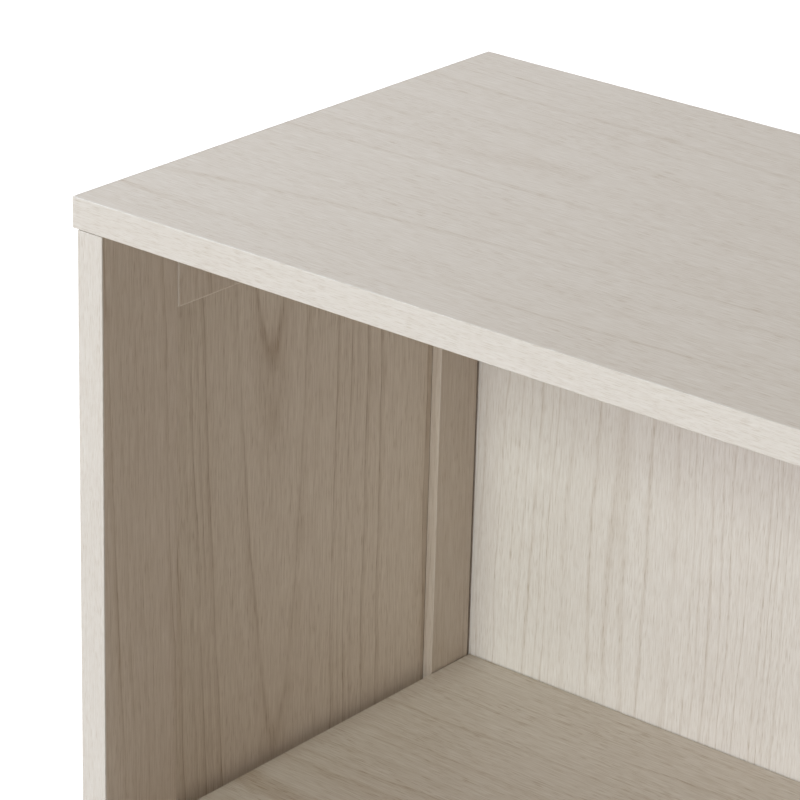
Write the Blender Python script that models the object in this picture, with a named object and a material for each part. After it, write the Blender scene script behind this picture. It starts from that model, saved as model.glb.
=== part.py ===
"""An open bookcase: frame-and-panel sides, a top that laps over them, a bottom panel on a plinth, two fixed
shelves and a thin back held in grooves.

Metres, +Z up. The front faces -Y, and the origin is on the floor, under the middle of the top panel."""

import math

import bmesh
import bpy
from mathutils import Matrix, Vector

# Overall sizes
TOP_WIDTH = 0.600
TOP_DEPTH = 0.300
TOP_THICK = 0.015
SIDE_OVERHANG = 0.003  # how far the top laps past the outer face of each side
REAR_OVERHANG = 0.003  # how far the top laps past the rear edge of the sides
CLEAR_HEIGHT = 0.310  # free height of each compartment
PLINTH_HEIGHT = 0.060  # from the lower ends of the sides to the bottom panel

# Clearances
JOINT_GAP = 0.0003  # between two pieces that meet
CUT_OVERRUN = 0.002  # how far a cutter reaches past the face that it opens
ARRIS = 0.0005  # eased edge of every board

# Side frames
SIDE_THICK = 0.015
STILE_WIDTH = 0.050
TOP_RAIL_HEIGHT = 0.048
BOTTOM_RAIL_SHOWN = 0.048  # height of the bottom rail above the bottom panel
SIDE_PANEL_THICK = 0.003
PANEL_GROOVE_DEPTH = 0.008

# Shelves and bottom panel, lowest first
BOARD_NAMES = ("bottom_panel", "lower_shelf", "upper_shelf")
SHELF_THICK = 0.015
SHELF_SETBACK = 0.002  # front edge behind the front of the sides

# Back, rear rails and plinth
BACK_THICK = 0.003
BACK_GROOVE_DEPTH = 0.006
REAR_RAIL_THICK = 0.015
REAR_RAIL_HEIGHT = 0.060
KICK_THICK = 0.015
KICK_SETBACK = 0.020

# Cam fittings: a bolt screwed into one board, and a cam in the next one that draws it tight
CAM_DISTANCE = 0.024  # from the joint to the middle of the cam
CAM_RADIUS = 0.0073
CAM_HEIGHT = 0.012
CAM_SINK = 0.0003  # how far the cam's face lies below the board's
SLOT_LENGTH = 0.008
SLOT_WIDTH = 0.0014
SLOT_DEPTH = 0.002
THREAD_RADIUS = 0.0029
THREAD_LENGTH = 0.010
THREAD_LEAD = 0.001  # chamfer at the thread's tip
COLLAR_RADIUS = 0.0036
COLLAR_LENGTH = 0.0012
SHANK_RADIUS = 0.0026
NECK_RADIUS = 0.0017
NECK_LENGTH = 0.003
HEAD_RADIUS = 0.0029
HEAD_LENGTH = 0.003
TOP_CAM_SHARES = {"front": 0.25, "rear": 0.75}  # places along the top rail, as shares of its length

# Dowels
DOWEL_RADIUS = 0.004
DOWEL_CHAMFER = 0.001
DOWEL_SHORT_DEPTH = 0.010  # hole in the board that the dowel meets face on
DOWEL_LONG_DEPTH = 0.020  # hole in the board that it meets end on
DOWEL_SHARES = {"lower": 0.25, "upper": 0.75}  # places up a rail's end, as shares of its height

# Floor glides
GLIDE_RADIUS = 0.0068
GLIDE_HEIGHT = 0.005
GLIDE_ROUNDING = 0.0012
PIN_RADIUS = 0.0011
PIN_TIP_RADIUS = 0.0004
PIN_LENGTH = 0.012

# Facets round each turned shape
HOLE_SIDES = 10
CAM_SIDES = 14
BOLT_SIDES = 8
DOWEL_SIDES = 10
GLIDE_SIDES = 14
SMOOTH_ANGLE = math.radians(50)

# Planes that several pieces share
OUTER_X = TOP_WIDTH / 2 - SIDE_OVERHANG
INNER_X = OUTER_X - SIDE_THICK
MIDDLE_X = INNER_X + SIDE_THICK / 2
FRONT_Y = -TOP_DEPTH / 2
SIDE_REAR_Y = TOP_DEPTH / 2 - REAR_OVERHANG
FRONT_STILE_EDGE_Y = FRONT_Y + STILE_WIDTH
REAR_STILE_EDGE_Y = SIDE_REAR_Y - STILE_WIDTH
REAR_RAIL_Y = (SIDE_REAR_Y - REAR_RAIL_THICK, SIDE_REAR_Y)
KICK_Y = (FRONT_Y + KICK_SETBACK, FRONT_Y + KICK_SETBACK + KICK_THICK)
BACK_Y = (REAR_RAIL_Y[0] - JOINT_GAP - BACK_THICK, REAR_RAIL_Y[0] - JOINT_GAP)
BACK_GROOVE_Y = (BACK_Y[0] - JOINT_GAP, BACK_Y[1] + JOINT_GAP)
BACK_REACH_X = INNER_X + BACK_GROOVE_DEPTH
FOOT_Z = GLIDE_HEIGHT + JOINT_GAP
BOTTOM_Z = FOOT_Z + PLINTH_HEIGHT
SIDE_TOP_Z = BOTTOM_Z + len(BOARD_NAMES) * (SHELF_THICK + CLEAR_HEIGHT)
TOP_Z = SIDE_TOP_Z + JOINT_GAP
TOP_RAIL_Z = (SIDE_TOP_Z - TOP_RAIL_HEIGHT, SIDE_TOP_Z)
BOTTOM_RAIL_Z = (FOOT_Z, BOTTOM_Z + SHELF_THICK + BOTTOM_RAIL_SHOWN)

# The solid wood of each stile lies between its grooves, and its fasteners run through the middle of it
FRONT_WOOD_Y = (FRONT_Y + FRONT_STILE_EDGE_Y - PANEL_GROOVE_DEPTH) / 2
REAR_WOOD_Y = (REAR_STILE_EDGE_Y + PANEL_GROOVE_DEPTH + BACK_GROOVE_Y[0]) / 2

HANDS = {"left": -1, "right": 1}
UP = Vector((0, 0, 1))
TOWARDS_RIGHT = Vector((1, 0, 0))

# Finishes: linear colour, roughness, metallic
WHITEWASHED_BOARD = ((0.62, 0.57, 0.50), 0.55, 0.0)
WHITEWASHED_PANEL = ((0.60, 0.55, 0.48), 0.60, 0.0)
BEECH_DOWEL = ((0.52, 0.34, 0.19), 0.70, 0.0)
ZINC_CASTING = ((0.55, 0.55, 0.54), 0.40, 1.0)
ZINC_PLATED_STEEL = ((0.66, 0.66, 0.64), 0.30, 1.0)
GLIDE_PLASTIC = ((0.55, 0.52, 0.47), 0.50, 0.0)

solids = {}  # bmesh, finish, whether it is turned and how its edges are eased, by piece
cuts = {}  # bmesh of what is cut from a piece, by piece and by layer


def add_block(bm, centre, size):
    """Adds a closed box of that size about a centre."""
    bmesh.ops.create_cube(bm, size=1, matrix=Matrix.Translation(centre) @ Matrix.Diagonal((*size, 1)))


def add_span(bm, x, y, z):
    """Adds a closed box between two values of x, of y and of z."""
    low = Vector((min(x), min(y), min(z)))
    high = Vector((max(x), max(y), max(z)))
    add_block(bm, (low + high) / 2, high - low)


def add_turned(bm, origin, direction, profile, sides):
    """Adds a closed turned body: each pair in the profile is a distance along the axis and the radius there."""
    turn = UP.rotation_difference(direction).to_matrix()
    rings = []
    for along, radius in profile:
        ring = []
        for step in range(sides):
            angle = 2 * math.pi * step / sides
            point = Vector((radius * math.cos(angle), radius * math.sin(angle), along))
            ring.append(bm.verts.new(origin + turn @ point))
        rings.append(ring)
    for lower, upper in zip(rings, rings[1:]):
        for step in range(sides):
            following = (step + 1) % sides
            bm.faces.new((lower[step], lower[following], upper[following], upper[step]))
    bm.faces.new(tuple(reversed(rings[0])))
    bm.faces.new(rings[-1])


def board(name, x, y, z, finish=WHITEWASHED_BOARD, arris=ARRIS):
    """A flat board between two values of x, of y and of z, with eased edges."""
    solids[name] = (bmesh.new(), finish, False, arris)
    add_span(solids[name][0], x, y, z)


def turned(name, origin, direction, profile, sides, finish):
    """A turned piece about an axis that runs from the origin in that direction."""
    solids[name] = (bmesh.new(), finish, True, 0)
    add_turned(solids[name][0], origin, direction, profile, sides)


def cutter(piece, layer):
    """The bmesh of one layer of a piece's cutters. Cutters that cross each other lie in different layers."""
    return cuts.setdefault((piece, layer), bmesh.new())


def drill(piece, layer, start, direction, radius, depth, sides=HOLE_SIDES):
    """Cuts a round hole into a piece from a point on its face."""
    profile = [(-CUT_OVERRUN, radius), (depth, radius)]
    add_turned(cutter(piece, layer), start, direction, profile, sides)


def bolt_profile():
    """A cam bolt along its axis, from the thread's tip past the joint at zero to the head inside the cam."""
    collar_end = JOINT_GAP + COLLAR_LENGTH
    head_start = CAM_DISTANCE - HEAD_LENGTH / 2
    neck_start = head_start - NECK_LENGTH
    return [
        (-THREAD_LENGTH, THREAD_RADIUS - THREAD_LEAD),
        (-THREAD_LENGTH + THREAD_LEAD, THREAD_RADIUS),
        (JOINT_GAP, THREAD_RADIUS),
        (JOINT_GAP, COLLAR_RADIUS),
        (collar_end, COLLAR_RADIUS),
        (collar_end, SHANK_RADIUS),
        (neck_start, SHANK_RADIUS),
        (neck_start, NECK_RADIUS),
        (head_start, NECK_RADIUS),
        (head_start, HEAD_RADIUS),
        (head_start + HEAD_LENGTH, HEAD_RADIUS),
    ]


def cam_joint(place, bolted, held, joint, inward, cam_side, held_thick):
    """Draws one board against another: a bolt screwed into the bolted piece reaches into the held piece, where a
    cam turns on its head. The joint is a point between them, inward runs from it into the held piece, and the cam
    shows on the face towards cam_side."""
    bolt = f"{place}_cam_bolt"
    cam = f"{place}_cam_lock"
    middle = joint + inward * CAM_DISTANCE
    face = middle + cam_side * held_thick / 2
    drill(bolted, "holes", joint, -inward, THREAD_RADIUS + JOINT_GAP, THREAD_LENGTH + JOINT_GAP)
    drill(held, "holes", joint, inward, COLLAR_RADIUS + JOINT_GAP, CAM_DISTANCE)
    drill(held, "bores", face, -cam_side, CAM_RADIUS + JOINT_GAP, CAM_SINK + CAM_HEIGHT + JOINT_GAP, CAM_SIDES)
    turned(bolt, joint, inward, bolt_profile(), BOLT_SIDES, ZINC_PLATED_STEEL)

    cam_face = face - cam_side * CAM_SINK
    turned(cam, cam_face, -cam_side, [(0, CAM_RADIUS), (CAM_HEIGHT, CAM_RADIUS)], CAM_SIDES, ZINC_CASTING)
    rim = middle - inward * CAM_RADIUS
    drill(cam, "throat", rim, inward, HEAD_RADIUS + JOINT_GAP, CAM_RADIUS + HEAD_LENGTH / 2 + JOINT_GAP)
    across = inward.cross(cam_side)
    for layer, long_way, wide_way in (("slot", inward, across), ("cross_slot", across, inward)):
        size = long_way * SLOT_LENGTH + wide_way * SLOT_WIDTH + cam_side * 2 * SLOT_DEPTH
        add_block(cutter(cam, layer), cam_face, Vector(map(abs, size)))


def dowel_joint(place, faced, ended, joint, inward):
    """Sets a dowel across a joint, short in the piece that it meets face on and long in the one it meets end on."""
    drill(faced, "holes", joint, -inward, DOWEL_RADIUS + JOINT_GAP, DOWEL_SHORT_DEPTH)
    drill(ended, "holes", joint, inward, DOWEL_RADIUS + JOINT_GAP, DOWEL_LONG_DEPTH)
    start = JOINT_GAP - DOWEL_SHORT_DEPTH
    end = DOWEL_LONG_DEPTH - JOINT_GAP
    profile = [
        (start, DOWEL_RADIUS - DOWEL_CHAMFER),
        (start + DOWEL_CHAMFER, DOWEL_RADIUS),
        (end - DOWEL_CHAMFER, DOWEL_RADIUS),
        (end, DOWEL_RADIUS - DOWEL_CHAMFER),
    ]
    turned(f"{place}_dowel", joint, inward, profile, DOWEL_SIDES, BEECH_DOWEL)


def panel_groove_x(side):
    """The width of the groove in the middle of a side frame's thickness."""
    half = SIDE_PANEL_THICK / 2 + JOINT_GAP
    return (side * MIDDLE_X - half, side * MIDDLE_X + half)


def make_stiles(hand, side):
    """The two uprights of a side, each with a groove in the edge that faces the panel."""
    x = (side * INNER_X, side * OUTER_X)
    z = (FOOT_Z, SIDE_TOP_Z)
    groove_z = (FOOT_Z - CUT_OVERRUN, SIDE_TOP_Z + CUT_OVERRUN)
    front = f"{hand}_front_stile"
    board(front, x, (FRONT_Y, FRONT_STILE_EDGE_Y), z)
    groove_y = (FRONT_STILE_EDGE_Y - PANEL_GROOVE_DEPTH, FRONT_STILE_EDGE_Y + CUT_OVERRUN)
    add_span(cutter(front, "grooves"), panel_groove_x(side), groove_y, groove_z)

    rear = f"{hand}_rear_stile"
    board(rear, x, (REAR_STILE_EDGE_Y, SIDE_REAR_Y), z)
    groove_y = (REAR_STILE_EDGE_Y - CUT_OVERRUN, REAR_STILE_EDGE_Y + PANEL_GROOVE_DEPTH)
    add_span(cutter(rear, "grooves"), panel_groove_x(side), groove_y, groove_z)
    back_groove_x = (side * (INNER_X - CUT_OVERRUN), side * BACK_REACH_X)
    add_span(cutter(rear, "grooves"), back_groove_x, BACK_GROOVE_Y, groove_z)


def make_rail(name, side, z, groove_z):
    """A rail between the stiles. A tongue on each end fits the stile's groove, and the rail has one for the panel."""
    tongue = PANEL_GROOVE_DEPTH - JOINT_GAP
    ends = (FRONT_STILE_EDGE_Y - tongue, REAR_STILE_EDGE_Y + tongue)
    board(name, (side * INNER_X, side * OUTER_X), ends, z)
    add_span(cutter(name, "grooves"), panel_groove_x(side), (ends[0] - CUT_OVERRUN, ends[1] + CUT_OVERRUN), groove_z)
    cheek_z = (z[0] - CUT_OVERRUN, z[1] + CUT_OVERRUN)
    shoulders = (
        (ends[0] - CUT_OVERRUN, FRONT_STILE_EDGE_Y + JOINT_GAP),
        (REAR_STILE_EDGE_Y - JOINT_GAP, ends[1] + CUT_OVERRUN),
    )
    for shoulder_y in shoulders:
        for face_x, middle_way in ((INNER_X - CUT_OVERRUN, -1), (OUTER_X + CUT_OVERRUN, 1)):
            tongue_x = MIDDLE_X + middle_way * SIDE_PANEL_THICK / 2
            add_span(cutter(name, "cheeks"), (side * face_x, side * tongue_x), shoulder_y, cheek_z)


def make_side(hand, side):
    """A side: two stiles, a top and a bottom rail tongued into them, and a thin panel in their grooves."""
    make_stiles(hand, side)
    top_groove_z = (TOP_RAIL_Z[0] - CUT_OVERRUN, TOP_RAIL_Z[0] + PANEL_GROOVE_DEPTH)
    bottom_groove_z = (BOTTOM_RAIL_Z[1] - PANEL_GROOVE_DEPTH, BOTTOM_RAIL_Z[1] + CUT_OVERRUN)
    make_rail(f"{hand}_top_rail", side, TOP_RAIL_Z, top_groove_z)
    make_rail(f"{hand}_bottom_rail", side, BOTTOM_RAIL_Z, bottom_groove_z)
    reach = PANEL_GROOVE_DEPTH - JOINT_GAP
    half = SIDE_PANEL_THICK / 2
    board(
        f"{hand}_side_panel",
        (side * MIDDLE_X - half, side * MIDDLE_X + half),
        (FRONT_STILE_EDGE_Y - reach, REAR_STILE_EDGE_Y + reach),
        (BOTTOM_RAIL_Z[1] - reach, TOP_RAIL_Z[0] + reach),
        WHITEWASHED_PANEL,
        0,
    )


def make_shelves():
    """The bottom panel, which reaches the rear edge and has a groove for the back, and the shelves in front of it.
    Cams draw each board's ends against the stiles, but a shelf has dowels at the rear."""
    x = (JOINT_GAP - INNER_X, INNER_X - JOINT_GAP)
    for index, name in enumerate(BOARD_NAMES):
        low = BOTTOM_Z + index * (SHELF_THICK + CLEAR_HEIGHT)
        rear = SIDE_REAR_Y if index == 0 else BACK_Y[0] - JOINT_GAP
        board(name, x, (FRONT_Y + SHELF_SETBACK, rear), (low, low + SHELF_THICK))
        for hand, side in HANDS.items():
            for end, y in (("front", FRONT_WOOD_Y), ("rear", REAR_WOOD_Y)):
                place = f"{hand}_{name}_{end}"
                stile = f"{hand}_{end}_stile"
                joint = Vector((side * INNER_X, y, low + SHELF_THICK / 2))
                inward = TOWARDS_RIGHT * -side
                if index and end == "rear":
                    dowel_joint(place, stile, name, joint, inward)
                else:
                    cam_joint(place, stile, name, joint, inward, -UP, SHELF_THICK)
    top_face = BOTTOM_Z + SHELF_THICK
    groove_x = (-INNER_X - CUT_OVERRUN, INNER_X + CUT_OVERRUN)
    groove_z = (top_face - BACK_GROOVE_DEPTH, top_face + CUT_OVERRUN)
    add_span(cutter(BOARD_NAMES[0], "grooves"), groove_x, BACK_GROOVE_Y, groove_z)


def make_back():
    """The thin back, in grooves of the rear stiles, the bottom panel and the top."""
    reach = BACK_GROOVE_DEPTH - JOINT_GAP
    x = (-INNER_X - reach, INNER_X + reach)
    z = (BOTTOM_Z + SHELF_THICK - reach, TOP_Z + reach)
    board("back_panel", x, BACK_Y, z, WHITEWASHED_PANEL, 0)


def make_cross_rail(name, stile, y, z):
    """A rail that runs from side to side, with dowels from its ends into the stiles."""
    board(name, (JOINT_GAP - INNER_X, INNER_X - JOINT_GAP), y, z)
    for hand, side in HANDS.items():
        for level, share in DOWEL_SHARES.items():
            joint = Vector((side * INNER_X, sum(y) / 2, z[0] + share * (z[1] - z[0])))
            dowel_joint(f"{hand}_{name}_{level}", f"{hand}_{stile}", name, joint, TOWARDS_RIGHT * -side)


def make_top():
    """The top panel, drawn down on the sides' top rails by cams."""
    half_width = TOP_WIDTH / 2
    board("top_panel", (-half_width, half_width), (FRONT_Y, -FRONT_Y), (TOP_Z, TOP_Z + TOP_THICK))
    groove_z = (TOP_Z - CUT_OVERRUN, TOP_Z + BACK_GROOVE_DEPTH)
    add_span(cutter("top_panel", "grooves"), (-BACK_REACH_X, BACK_REACH_X), BACK_GROOVE_Y, groove_z)
    rail_length = REAR_STILE_EDGE_Y - FRONT_STILE_EDGE_Y
    for hand, side in HANDS.items():
        for end, share in TOP_CAM_SHARES.items():
            joint = Vector((side * MIDDLE_X, FRONT_STILE_EDGE_Y + share * rail_length, TOP_Z))
            inner_way = TOWARDS_RIGHT * -side
            cam_joint(f"{hand}_top_{end}", "top_panel", f"{hand}_top_rail", joint, -UP, inner_way, SIDE_THICK)


def make_glides():
    """A nailed glide under the foot of each stile."""
    profile = [
        (0, GLIDE_RADIUS - GLIDE_ROUNDING),
        (GLIDE_ROUNDING, GLIDE_RADIUS),
        (GLIDE_HEIGHT, GLIDE_RADIUS),
        (GLIDE_HEIGHT, PIN_RADIUS),
        (GLIDE_HEIGHT + PIN_LENGTH, PIN_TIP_RADIUS),
    ]
    for hand, side in HANDS.items():
        for end, y in (("front", FRONT_WOOD_Y), ("rear", REAR_WOOD_Y)):
            place = Vector((side * MIDDLE_X, y, 0))
            name = f"{hand}_{end}_glide"
            turned(name, place, UP, profile, GLIDE_SIDES, GLIDE_PLASTIC)
            drill(f"{hand}_{end}_stile", "holes", place + UP * FOOT_Z, UP, PIN_RADIUS + JOINT_GAP, PIN_LENGTH)


def make_material(name, finish):
    """A Principled material of one finish."""
    colour, roughness, metallic = finish
    material = bpy.data.materials.new(name)
    material.use_nodes = True
    shader = material.node_tree.nodes["Principled BSDF"]
    shader.inputs["Base Color"].default_value = (*colour, 1)
    shader.inputs["Roughness"].default_value = roughness
    shader.inputs["Metallic"].default_value = metallic
    material.diffuse_color = (*colour, 1)
    return material


def make_object(name, bm, parent):
    """An object of that mesh, with its origin in the middle of the piece."""
    corners = [vert.co for vert in bm.verts]
    low = Vector(map(min, zip(*corners)))
    high = Vector(map(max, zip(*corners)))
    middle = (low + high) / 2
    bmesh.ops.translate(bm, vec=-middle, verts=bm.verts)
    bmesh.ops.recalc_face_normals(bm, faces=bm.faces)
    mesh = bpy.data.meshes.new(name)
    bm.to_mesh(mesh)
    bm.free()
    made = bpy.data.objects.new(name, mesh)
    made.location = middle
    made.parent = parent
    bpy.context.scene.collection.objects.link(made)
    return made


def make_objects():
    """Turns the collected solids and cutters into objects, each cutter as a Boolean on its piece."""
    root = bpy.data.objects.new("bookcase", None)
    bpy.context.scene.collection.objects.link(root)
    pieces = {}
    for name, (bm, finish, turned, arris) in solids.items():
        piece = make_object(name, bm, root)
        piece.data.materials.append(make_material(f"{name}_finish", finish))
        if turned:
            piece.data.shade_smooth()
            piece.data.set_sharp_from_angle(angle=SMOOTH_ANGLE)
        if arris:
            easing = piece.modifiers.new("eased edges", "BEVEL")
            easing.width = arris
            easing.segments = 1
        pieces[name] = piece
    for (name, layer), bm in cuts.items():
        tool = make_object(f"{name}_{layer}", bm, root)
        tool.hide_render = True
        tool.display_type = "WIRE"
        cut = pieces[name].modifiers.new(layer, "BOOLEAN")
        cut.operation = "DIFFERENCE"
        cut.object = tool


def main():
    """Builds the whole bookcase in an empty scene."""
    for old in list(bpy.data.objects):
        bpy.data.objects.remove(old)
    for hand, side in HANDS.items():
        make_side(hand, side)
    make_shelves()
    make_back()
    make_cross_rail("kick_board", "front_stile", KICK_Y, (FOOT_Z, BOTTOM_Z - JOINT_GAP))
    make_cross_rail("top_rear_rail", "rear_stile", REAR_RAIL_Y, (SIDE_TOP_Z - REAR_RAIL_HEIGHT, SIDE_TOP_Z))
    make_top()
    make_glides()
    make_objects()


main()
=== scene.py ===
"""The looks of a whitewashed bookcase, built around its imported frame.

Each board is drawn again as an eased length of stock with its edge bands, bored and grooved for what it holds, and
printed with a wood figure of its own. Cams and glides are turned again in finer steps. Bolts and dowels, which lie
inside the boards, keep the frame's own meshes. Metres, +Z up, with the front towards -Y."""

import logging
import math
from dataclasses import dataclass, field, replace
from enum import Enum
from typing import ClassVar

import bpy
import numpy as np
from mathutils import Matrix, Vector


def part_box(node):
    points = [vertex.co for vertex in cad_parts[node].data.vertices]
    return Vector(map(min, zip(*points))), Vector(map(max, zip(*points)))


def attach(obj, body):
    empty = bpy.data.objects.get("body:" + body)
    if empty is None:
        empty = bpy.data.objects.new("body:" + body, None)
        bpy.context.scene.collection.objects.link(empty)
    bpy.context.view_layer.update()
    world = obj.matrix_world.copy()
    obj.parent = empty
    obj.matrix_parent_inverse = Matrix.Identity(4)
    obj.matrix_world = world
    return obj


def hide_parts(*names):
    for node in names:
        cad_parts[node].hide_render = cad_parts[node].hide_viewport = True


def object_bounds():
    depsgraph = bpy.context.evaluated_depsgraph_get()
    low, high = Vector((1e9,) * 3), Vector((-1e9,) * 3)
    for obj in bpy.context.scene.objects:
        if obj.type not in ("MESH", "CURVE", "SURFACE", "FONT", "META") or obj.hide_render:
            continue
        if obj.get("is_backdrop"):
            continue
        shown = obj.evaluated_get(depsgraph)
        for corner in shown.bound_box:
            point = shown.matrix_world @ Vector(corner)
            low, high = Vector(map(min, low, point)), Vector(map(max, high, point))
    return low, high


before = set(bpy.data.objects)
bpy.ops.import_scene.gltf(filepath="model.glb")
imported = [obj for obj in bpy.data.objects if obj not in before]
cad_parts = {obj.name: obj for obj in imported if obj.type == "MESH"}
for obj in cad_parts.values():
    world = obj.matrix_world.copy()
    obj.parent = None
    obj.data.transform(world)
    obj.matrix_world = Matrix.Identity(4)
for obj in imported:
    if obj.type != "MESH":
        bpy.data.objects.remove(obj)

LOG = logging.getLogger("bookcase")
BODY = "root"
WELD = 1e-7  # points closer than this are one point
CORNERS = np.array(((-1, -1), (1, -1), (1, 1), (-1, 1)))  # the ways to a section's corners, from its lowest one
HANDS = ("left", "right")
THIN_PANELS = {"side_panel": 0.0003, "back_panel": 0.0018}  # and the play of each in its grooves

Piece = bpy.types.Object
Material = bpy.types.Material
Socket = bpy.types.NodeSocket
Value = float | Socket
Colour = tuple[float, float, float]
Step = tuple[float, ...]

BOARD_SLOT = "whitewashed_board"
PANEL_SLOT = "whitewashed_panel"
WHITE: Colour = (1.0, 1.0, 1.0)


class Axis(Enum):
    """A direction of the bookcase."""

    WIDTH = 0
    DEPTH = 1
    HEIGHT = 2

    @property
    def others(self) -> tuple[int, int]:
        """The two other axes, in the order that keeps a right-handed turn."""
        return (self.value + 1) % 3, (self.value + 2) % 3


class Side(Enum):
    """A side of a board: the axis that it faces along, and which way."""

    LEFT = (0, -1)
    RIGHT = (0, 1)
    FRONT = (1, -1)
    REAR = (1, 1)
    UNDER = (2, -1)
    UPPER = (2, 1)


def linear(red: int, green: int, blue: int) -> Colour:
    """A colour as Blender's shaders take it.

    Args:
        red: The red share as a screen shows it, from 0 to 255.
        green: The green share.
        blue: The blue share.

    Returns:
        The three shares in linear light.
    """
    shown = np.array((red, green, blue)) / 255
    low = shown / 12.92
    high = ((shown + 0.055) / 1.055) ** 2.4
    return tuple(np.where(shown <= 0.04045, low, high).tolist())


@dataclass(frozen=True)
class Block:
    """A box between two corners."""

    low: np.ndarray
    high: np.ndarray

    @classmethod
    def of(cls, node: str) -> "Block":
        """The box of a node of the frame."""
        return cls(*(np.array(corner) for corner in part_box(node)))

    @property
    def size(self) -> np.ndarray:
        """The box's three sizes."""
        return self.high - self.low

    @property
    def middle(self) -> np.ndarray:
        """The box's middle."""
        return (self.low + self.high) / 2

    def grown(self, amount: float) -> "Block":
        """The box with every side moved outwards by an amount."""
        return Block(self.low - amount, self.high + amount)

    def meets(self, other: "Block") -> bool:
        """Whether the two boxes share any space."""
        return bool(np.all(self.low < other.high) and np.all(other.low < self.high))

    def face(self, side: Side) -> float:
        """Where a side of the box lies on the axis that it faces along."""
        axis, way = side.value
        return float(self.high[axis] if way > 0 else self.low[axis])

    def line(self, axis: int) -> np.ndarray:
        """Where the box's middle line along an axis passes that axis's zero."""
        return np.where(np.arange(3) == axis, 0.0, self.middle)

    def ended(self, axis: int, way: int, place: float) -> "Block":
        """The box with one end moved.

        Args:
            axis: The axis that the end faces along.
            way: -1 for the lower end, 1 for the upper one.
            place: Where the end comes to lie.

        Returns:
            The new box.
        """
        low, high = self.low.copy(), self.high.copy()
        (low if way < 0 else high)[axis] = place
        return Block(low, high)

    def stretched(self, axis: Axis, low: float, high: float) -> "Block":
        """The box with new ends along one axis."""
        return self.ended(axis.value, -1, low).ended(axis.value, 1, high)

    def trimmed(self, side: Side, amount: float) -> "Block":
        """The box with one side cut back by an amount."""
        axis, way = side.value
        return self.ended(axis, way, self.face(side) - way * amount)

    def strip(self, side: Side, thick: float) -> "Block":
        """The outermost layer of the box on one side."""
        axis, way = side.value
        return self.ended(axis, -way, self.face(side) - way * thick)


@dataclass(frozen=True)
class Shape:
    """A closed surface as points and the faces between them."""

    points: np.ndarray
    faces: list[list[int]]

    def made(self, name: str) -> Piece:
        """Makes an object of this surface, at the origin, with its place in its mesh.

        Args:
            name: The object's name.

        Returns:
            The object, in the scene.
        """
        mesh = bpy.data.meshes.new(name)
        mesh.from_pydata(self.points, [], self.faces)
        piece = bpy.data.objects.new(name, mesh)
        bpy.context.scene.collection.objects.link(piece)
        return piece


def loft(rings: np.ndarray) -> Shape:
    """Joins rings of points into a closed skin.

    The surface is a grid of two parameters, along the path and round the ring. Each cell of the grid is a face, the
    first and last ring are closed by a cap, and cells whose corners fall together lose them.

    Args:
        rings: Points by station, by place round the ring and by axis, the ring anticlockwise seen from ahead.

    Returns:
        The skin, with its faces outwards.
    """
    flat = rings.reshape(-1, 3)
    keys = np.round(flat / WELD).astype(np.int64)
    _, first, number = np.unique(keys, axis=0, return_index=True, return_inverse=True)
    grid = number.reshape(rings.shape[:2])
    following = np.roll(grid, -1, axis=1)
    cells = np.stack((grid[:-1], following[:-1], following[1:], grid[1:]), axis=-1).reshape(-1, 4)
    distinct = cells != np.roll(cells, 1, axis=1)
    corners = distinct.sum(axis=1)
    faces = cells[corners == 4].tolist()
    faces += cells[corners == 3][distinct[corners == 3]].reshape(-1, 3).tolist()
    for ring in (grid[0, ::-1], grid[-1]):
        cap = ring[ring != np.roll(ring, 1)]
        if len(cap) > 2:
            faces.append(cap.tolist())
    return Shape(flat[first], faces)


def eased_block(block: Block, axis: Axis, ease: float, steps: int, eased: tuple[bool, ...] = (True,) * 4) -> Shape:
    """A length of stock with rounded arrises.

    The section is a rectangle with a quarter circle of the easing radius at each eased corner. It is carried along
    the axis, and over each end's easing it shrinks inwards by radius times one minus the sine of an angle while it
    still has radius times one minus the cosine of that angle to go.

    Args:
        block: The space that the stock fills.
        axis: The way along which the section is carried.
        ease: The radius of the rounding.
        steps: How many flats stand for each quarter circle.
        eased: Which corners of the section are rounded, anticlockwise from its lowest.

    Returns:
        The closed skin.
    """
    across, up = axis.others
    corners = np.where(CORNERS < 0, block.low[[across, up]], block.high[[across, up]])
    angles = np.linspace(0, math.pi / 2, steps + 1)
    starts = np.radians((180, 270, 0, 90))[:, None] + angles
    arc = np.stack((np.cos(starts), np.sin(starts)), axis=-1)
    round_corner = np.array(eased)[:, None, None]
    spread = np.where(round_corner, arc, CORNERS[:, None, :]).reshape(-1, 2)
    pulled_in = np.where(round_corner, ease * (arc - CORNERS[:, None, :]), 0)
    outline = (corners[:, None, :] + pulled_in).reshape(-1, 2)

    inset = ease * (1 - np.sin(angles))
    lift = ease * (1 - np.cos(angles))
    insets = np.concatenate((inset, inset[::-1]))
    places = np.concatenate((block.low[axis.value] + lift, block.high[axis.value] - lift[::-1]))
    rings = np.empty((len(insets), len(outline), 3))
    rings[..., [across, up]] = outline - insets[:, None, None] * spread
    rings[..., axis.value] = places[:, None]
    return loft(rings)


def rod(low: float, high: float, radius: float) -> list[tuple[float, float]]:
    """The profile of a plain round rod between two places on its axis."""
    return [(low, 0.0), (low, radius), (high, radius), (high, 0.0)]


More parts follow.
